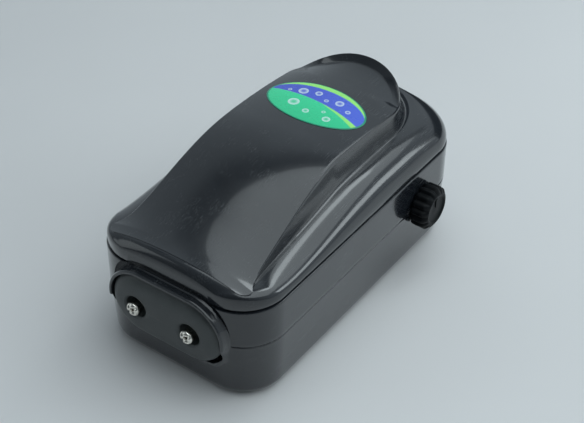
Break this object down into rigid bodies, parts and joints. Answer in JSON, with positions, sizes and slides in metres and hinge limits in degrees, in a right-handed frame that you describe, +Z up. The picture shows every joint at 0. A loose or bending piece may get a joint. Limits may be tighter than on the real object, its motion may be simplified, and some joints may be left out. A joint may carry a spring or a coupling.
{
  "type": "aquarium air pump",
  "caption": "Twin-outlet electromagnetic aquarium air pump in a glossy moulded casing with a raised sloping top, front outlet plate and side flow knob.",
  "frame": {"origin": "on the floor under the middle of the casing, in the plane of the feet's undersides", "axes": "+X to the flow knob, -Y to the air outlets, +Z up"},
  "size_m": [0.0882, 0.2008, 0.075],
  "materials": {
    "casing": "glossy black ABS with soft wear",
    "plate": "satin black",
    "knob": "fine matt, ribbed",
    "nickel": "bright nickel plate",
    "steel": "zinc plated",
    "rubber": "matt",
    "red_rubber": "matt silicone",
    "hose": "translucent silicone",
    "abs_grey": "moulded",
    "bobbin": "natural nylon",
    "copper": "enamelled copper wire",
    "lamination": "varnished sheet stack",
    "magnet": "ferrite",
    "board": "solder mask",
    "component_red": "moulded",
    "component_black": "moulded",
    "flex": "PVC sheath",
    "felt": "needled felt",
    "sticker": "printed vinyl"
  },
  "bodies": {
    "casing": {"base_shell": "casing", "upper_shell": "casing", "outlet_plate": "plate", "nozzle_left": "nickel", "nozzle_right": "nickel", "nozzle_nuts": "steel", "outlet_hose_left": "hose", "outlet_hose_right": "hose", "air_chamber_left": "abs_grey", "air_chamber_right": "abs_grey", "chamber_cover_left": "abs_grey", "chamber_cover_right": "abs_grey", "diaphragm_left": "rubber", "diaphragm_right": "rubber", "clamp_ring_left": "steel", "clamp_ring_right": "steel", "pivot_pin_left": "steel", "pivot_pin_right": "steel", "chassis": "abs_grey", "chassis_mounts": "rubber", "chassis_screws": "steel", "chamber_screws": "steel", "laminated_core": "lamination", "coil_bobbin": "bobbin", "coil_winding": "copper", "core_strap": "steel", "strap_screws": "steel", "control_board": "board", "film_capacitor": "component_red", "triac": "component_black", "coil_leads": "component_red", "flow_control": "steel", "control_nut": "steel", "power_cord": "flex", "strain_relief": "flex", "rubber_feet": "rubber", "case_screws": "steel", "intake_felt": "felt", "intake_cover": "casing", "label": "sticker"},
    "knob": {"flow_knob": "knob", "control_shaft": "steel"},
    "left_arm": {"swing_arm_left": "steel", "magnet_left": "magnet", "hub_screw_left": "steel", "hub_nut_left": "steel"},
    "right_arm": {"swing_arm_right": "steel", "magnet_right": "magnet", "hub_screw_right": "steel", "hub_nut_right": "steel"},
    "left_inlet_valve": {"inlet_flap_left": "red_rubber"},
    "right_inlet_valve": {"inlet_flap_right": "red_rubber"},
    "left_outlet_valve": {"outlet_flap_left": "red_rubber"},
    "right_outlet_valve": {"outlet_flap_right": "red_rubber"}
  },
  "joints": [
    {"name": "knob_turn", "type": "hinge", "parent": "casing", "child": "knob", "pos_m": [0.044, 0.041, 0.0282], "axis": [1, 0, 0], "range_deg": [0, 270]},
    {"name": "left_arm_swing", "type": "hinge", "parent": "casing", "child": "left_arm", "pos_m": [-0.025, -0.022, 0.0294], "axis": [0, 0, 1], "range_deg": [-1.2, 1.2], "deforming": ["diaphragm_left"]},
    {"name": "right_arm_swing", "type": "hinge", "parent": "casing", "child": "right_arm", "pos_m": [0.025, -0.022, 0.0294], "axis": [0, 0, 1], "range_deg": [-1.2, 1.2], "deforming": ["diaphragm_right"]},
    {"name": "left_inlet_flap", "type": "hinge", "parent": "casing", "child": "left_inlet_valve", "pos_m": [-0.018, 0.0192, 0.0294], "axis": [0, 0, -1], "range_deg": [0, 8]},
    {"name": "right_inlet_flap", "type": "hinge", "parent": "casing", "child": "right_inlet_valve", "pos_m": [0.018, 0.0192, 0.0294], "axis": [0, 0, 1], "range_deg": [0, 8]},
    {"name": "left_outlet_flap", "type": "hinge", "parent": "casing", "child": "left_outlet_valve", "pos_m": [-0.0145, 0.0062, 0.0294], "axis": [0, 0, 1], "range_deg": [0, 8]},
    {"name": "right_outlet_flap", "type": "hinge", "parent": "casing", "child": "right_outlet_valve", "pos_m": [0.0145, 0.0062, 0.0294], "axis": [0, 0, -1], "range_deg": [0, 8]}
  ],
  "couplings": [
    {"joint": "right_arm_swing", "follows": "left_arm_swing", "ratio": -1}
  ]
}
